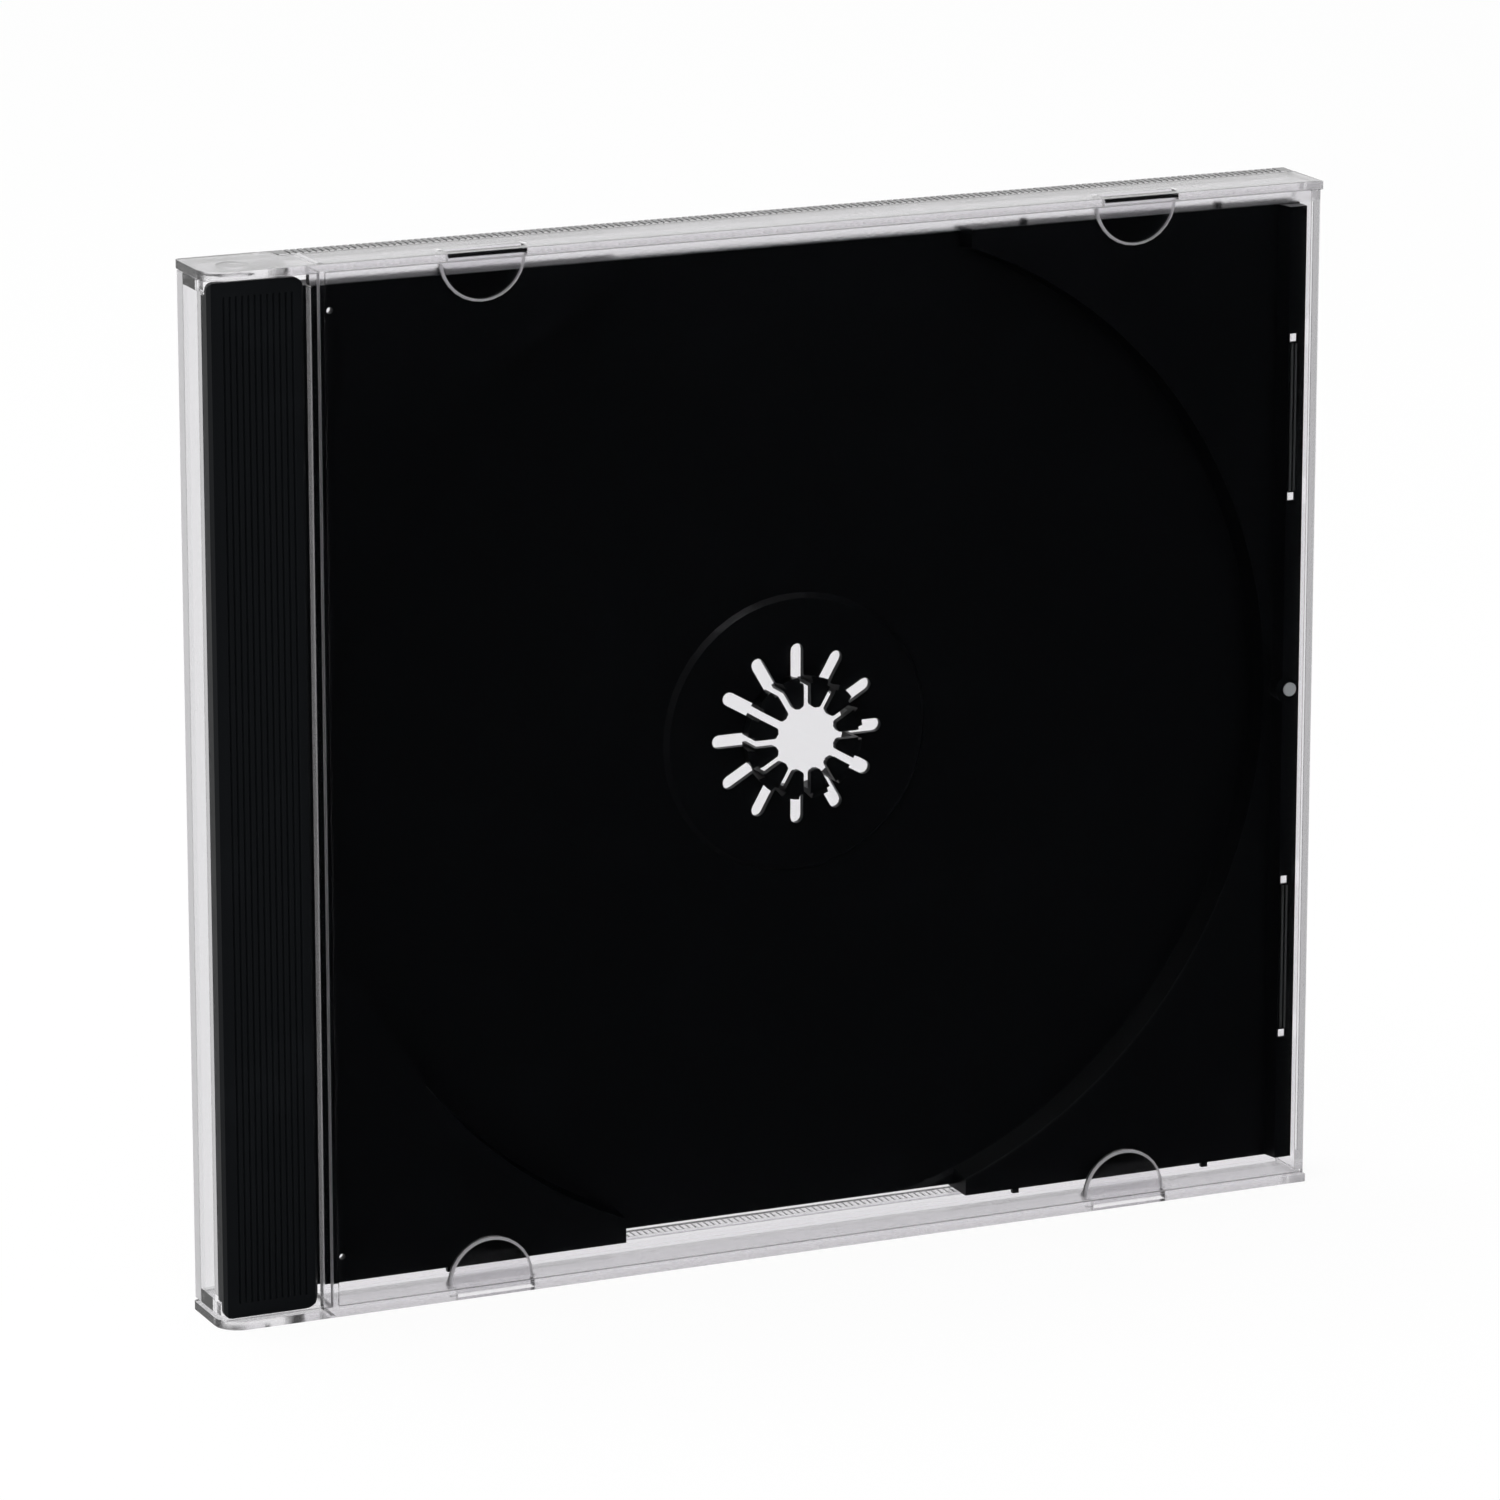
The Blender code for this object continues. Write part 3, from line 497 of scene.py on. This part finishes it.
class MouldSettings(bpy.types.PropertyGroup):
    """How crisply the three shells are moulded."""

    clear_edge: bpy.props.FloatProperty(
        name="Clear edge radius",
        description="Radius on the outer edges of the clear shells",
        default=0.00010,
        min=0.0,
        subtype="DISTANCE",
        unit="LENGTH",
    )
    black_edge: bpy.props.FloatProperty(
        name="Black edge radius",
        description="Radius on the edges of the black tray",
        default=0.00008,
        min=0.0,
        subtype="DISTANCE",
        unit="LENGTH",
    )
    tab_rim: bpy.props.FloatProperty(
        name="Tab rim radius",
        description="Radius on the curved edges of the lid's tabs",
        default=0.00030,
        min=0.0,
        subtype="DISTANCE",
        unit="LENGTH",
    )
    edge_steps: bpy.props.IntProperty(
        name="Edge steps",
        description="Faces across each rounded edge",
        default=2,
        min=1,
        max=6,
    )


class FinishSettings(bpy.types.PropertyGroup):
    """Colours and gloss of the plastics."""

    clear_colour: bpy.props.FloatVectorProperty(
        name="Clear plastic",
        description="Tint of the clear styrene",
        default=(0.975, 0.970, 0.982, 1.0),
        size=4,
        subtype="COLOR",
    )
    frosted_colour: bpy.props.FloatVectorProperty(
        name="Frosted walls",
        description="Tint of the textured long walls",
        default=(0.945, 0.935, 0.955, 1.0),
        size=4,
        subtype="COLOR",
    )
    black_colour: bpy.props.FloatVectorProperty(
        name="Black plastic",
        description="Colour of the tray",
        default=(0.0058, 0.0066, 0.0078, 1.0),
        size=4,
        subtype="COLOR",
    )
    clear_roughness: bpy.props.FloatProperty(
        name="Clear roughness",
        description="Roughness of the polished faces",
        default=0.02,
        min=0.0,
        max=1.0,
        subtype="FACTOR",
    )
    lid_wall_roughness: bpy.props.FloatProperty(
        name="Lid wall roughness",
        description="Roughness of the lid's two long walls",
        default=0.16,
        min=0.0,
        max=1.0,
        subtype="FACTOR",
    )
    rail_roughness: bpy.props.FloatProperty(
        name="Rail roughness",
        description="Roughness of the back's ribbed rails",
        default=0.04,
        min=0.0,
        max=1.0,
        subtype="FACTOR",
    )
    ground_roughness: bpy.props.FloatProperty(
        name="Ground edge roughness",
        description="Roughness of the rims and ridges that the mould leaves matt",
        default=0.85,
        min=0.0,
        max=1.0,
        subtype="FACTOR",
    )
    # How strongly the matt white of the painted highlights on the rims, ridge, edges and spine corner is
    # mixed in
    painted_highlight_share: bpy.props.FloatProperty(
        name="Ground edge whiteness",
        description="How white and opaque the matt rims and ridges are",
        default=1.0,
        min=0.0,
        max=1.0,
        subtype="FACTOR",
    )
    black_roughness: bpy.props.FloatProperty(
        name="Black roughness",
        description="Roughness of the tray's satin texture",
        default=0.30,
        min=0.0,
        max=1.0,
        subtype="FACTOR",
    )
    handling: bpy.props.FloatProperty(
        name="Handling",
        description="How much haze, hairlines and rubbing the case shows",
        default=0.35,
        min=0.0,
        max=1.0,
        subtype="FACTOR",
    )


class StudioSettings(bpy.types.PropertyGroup):
    """Camera, floor and lamps."""

    camera_place: bpy.props.FloatVectorProperty(
        name="Camera place",
        description="Where the camera stands",
        default=(-0.37206, -0.82201, 0.29382),
        subtype="TRANSLATION",
        unit="LENGTH",
    )
    camera_turn: bpy.props.FloatVectorProperty(
        name="Camera turn",
        description="Turn of the camera about X, Y and Z",
        default=(math.radians(75.544), 0.0, math.radians(-24.253)),
        subtype="EULER",
        unit="ROTATION",
    )
    lens: bpy.props.FloatProperty(
        name="Lens",
        description="Focal length on a 36 mm sensor",
        default=189.02,
        min=1.0,
    )
    floor_colour: bpy.props.FloatVectorProperty(
        name="Floor",
        description="Colour of the floor",
        default=(0.86, 0.86, 0.86, 1.0),
        size=4,
        subtype="COLOR",
    )
    whitening: bpy.props.FloatProperty(
        name="Whitening",
        description="How far the floor is lifted to plain white for the camera",
        default=0.93,
        min=0.0,
        max=1.0,
        subtype="FACTOR",
    )
    studio_light: bpy.props.FloatProperty(
        name="Studio light",
        description="Strength of the even light from all round",
        default=0.80,
        min=0.0,
    )
    softbox_power: bpy.props.FloatProperty(
        name="Softbox",
        description="Power of the lamp overhead, in watts",
        default=5.0,
        min=0.0,
    )


# Operators

class MakeClearLid(bpy.types.Operator):
    """Makes the clear front lid with softened edges"""

    bl_idname = "jewelcase.clear_lid"
    bl_label = "Clear Lid"

    def execute(self, context):
        mould = context.scene.case_mould
        lid = welded_copy("front_lid", "clear_lid")
        round_tab_rims(lid, mould.tab_rim, mould.edge_steps + 1)
        break_edges(lid, mould.clear_edge, mould.edge_steps)
        finish = context.scene.case_finish
        material = clear_styrene("polished_clear_lid", finish, finish.lid_wall_roughness, marks_on_lid)
        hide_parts("front_lid")
        dressed(lid, "lid", material)
        return {"FINISHED"}


class MakeClearBack(bpy.types.Operator):
    """Makes the clear back shell with softened edges"""

    bl_idname = "jewelcase.clear_back"
    bl_label = "Clear Back"

    def execute(self, context):
        mould = context.scene.case_mould
        back = welded_copy("back_shell", "clear_back")
        break_edges(back, mould.clear_edge, mould.edge_steps)
        finish = context.scene.case_finish
        material = clear_styrene("polished_clear_back", finish, finish.rail_roughness, marks_on_back)
        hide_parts("back_shell")
        dressed(back, "case", material)
        return {"FINISHED"}


class MakeBlackTray(bpy.types.Operator):
    """Makes the black disc tray with softened edges"""

    bl_idname = "jewelcase.black_tray"
    bl_label = "Black Tray"

    def execute(self, context):
        mould = context.scene.case_mould
        finish = context.scene.case_finish
        tray = welded_copy("disc_tray", "black_tray")
        open_latch_windows(tray)
        break_edges(tray, mould.black_edge, mould.edge_steps)
        material = black_styrene(
            "satin_black_tray", tuple(finish.black_colour), finish.black_roughness, finish.handling
        )
        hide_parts("disc_tray")
        dressed(tray, "case", material)
        return {"FINISHED"}


class MakeStudio(bpy.types.Operator):
    """Makes the floor, the lamp, the white surround and the camera"""

    bl_idname = "jewelcase.studio"
    bl_label = "Studio"

    def make_floor(self, studio):
        bpy.ops.object.select_all(action="DESELECT")
        bpy.ops.mesh.primitive_plane_add(size=6.0, location=(0.0, 0.0, -0.00005))
        floor = bpy.context.view_layer.objects.active
        floor.name = "floor"
        bpy.ops.object.transform_apply(location=True, rotation=True, scale=True)
        material, shader = new_material("pale_floor")
        mottle = shader.noise(6.0, 3.0)
        colour = tuple(studio.floor_colour)
        tint = shader.mixed(mottle, colour, dimmed(colour, 0.985))
        paint = shader.plastic({"Base Color": tint, "Roughness": 0.9, "Specular IOR Level": 0.1})
        glow = shader.node("ShaderNodeEmission", None, {"Color": WHITE, "Strength": 1.0})
        camera = shader.node("ShaderNodeLightPath", output="Is Camera Ray")
        shader.finish("ShaderNodeOutputMaterial", shader.blend(camera * studio.whitening, paint, glow))
        floor.data.materials.append(material)
        floor.visible_glossy = False
        floor.visible_transmission = False

    def lobe(self, shader, towards, angles):
        """1 near one direction of the surround, and nothing outside the wider angle."""
        direction = shader.node("ShaderNodeTexCoord", output="Generated")
        sockets = {0: direction, 1: Vector(towards).normalized()}
        facing = shader.node("ShaderNodeVectorMath", {"operation": "DOT_PRODUCT"}, sockets, output="Value")
        return facing.between(*(math.cos(math.radians(angle)) for angle in angles))

    def make_surround(self, studio):
        world = bpy.data.worlds.new("white_surround")
        world.use_nodes = True
        bpy.context.scene.world = world
        shader = Shader(world.node_tree)
        camera = shader.node("ShaderNodeLightPath", output="Is Camera Ray")
        glossy = shader.node("ShaderNodeLightPath", output="Is Glossy Ray")
        through = shader.node("ShaderNodeLightPath", output="Is Transmission Ray")
        spread = shader.node("ShaderNodeLightPath", output="Diffuse Depth")
        seen = camera.maximum(glossy).maximum(through) * (1 - spread.minimum(1.0))
        dark = self.lobe(shader, DARK_FRONT, DARK_FRONT_ANGLES)
        shaded = glossy * SCREEN_SHADE * self.lobe(shader, SCREEN, SCREEN_ANGLES)
        strength = seen * (1 - dark.maximum(shaded) * (1 - camera)) + (1 - seen) * studio.studio_light
        sockets = {"Color": WHITE, "Strength": strength}
        shader.finish("ShaderNodeOutputWorld", shader.node("ShaderNodeBackground", None, sockets))

    def make_softbox(self, studio):
        bpy.ops.object.light_add(type="AREA", location=(-0.25, 0.05, 0.9))
        lamp = bpy.context.view_layer.objects.active
        lamp.name = "softbox"
        lamp.rotation_euler = Vector((0.25, -0.05, -0.85)).to_track_quat("-Z", "Y").to_euler()
        lamp.data.shape = "RECTANGLE"
        lamp.data.size = 0.9
        lamp.data.size_y = 0.5
        lamp.data.energy = studio.softbox_power

    def make_camera(self, studio):
        bpy.ops.object.camera_add(location=tuple(studio.camera_place), rotation=tuple(studio.camera_turn))
        camera = bpy.context.view_layer.objects.active
        camera.name = "photo_camera"
        camera.data.sensor_width = 36.0
        camera.data.lens = studio.lens
        camera.data.dof.use_dof = False
        camera.data.clip_start = 0.01
        bpy.context.scene.camera = camera

    def execute(self, context):
        studio = context.scene.case_studio
        self.make_floor(studio)
        self.make_surround(studio)
        self.make_softbox(studio)
        self.make_camera(studio)
        context.scene.view_settings.view_transform = "Standard"
        return {"FINISHED"}


class JewelCasePanel(bpy.types.Panel):
    """Lists the settings and the makers of the jewel case"""

    bl_idname = "VIEW3D_PT_jewel_case"
    bl_label = "Jewel Case"
    bl_space_type = "VIEW_3D"
    bl_region_type = "UI"
    bl_category = "Jewel Case"

    def draw(self, context):
        layout = self.layout
        for name, group in (
            ("Mould", context.scene.case_mould),
            ("Finish", context.scene.case_finish),
            ("Studio", context.scene.case_studio),
        ):
            box = layout.box()
            box.label(text=name)
            for key in group.__annotations__:
                box.prop(group, key)
        column = layout.column()
        for maker in MAKERS:
            column.operator(maker.bl_idname)


MAKERS = (MakeClearBack, MakeBlackTray, MakeClearLid, MakeStudio)
GROUPS = (MouldSettings, FinishSettings, StudioSettings)


def register():
    for kind in GROUPS + MAKERS + (JewelCasePanel,):
        bpy.utils.register_class(kind)
    bpy.types.Scene.case_mould = bpy.props.PointerProperty(type=MouldSettings)
    bpy.types.Scene.case_finish = bpy.props.PointerProperty(type=FinishSettings)
    bpy.types.Scene.case_studio = bpy.props.PointerProperty(type=StudioSettings)


def unregister():
    del bpy.types.Scene.case_studio
    del bpy.types.Scene.case_finish
    del bpy.types.Scene.case_mould
    for kind in reversed(GROUPS + MAKERS + (JewelCasePanel,)):
        bpy.utils.unregister_class(kind)


def main():
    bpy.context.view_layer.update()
    register()
    bpy.ops.jewelcase.clear_back()
    bpy.ops.jewelcase.black_tray()
    bpy.ops.jewelcase.clear_lid()
    bpy.ops.jewelcase.studio()


if __name__ == "__main__":
    main()
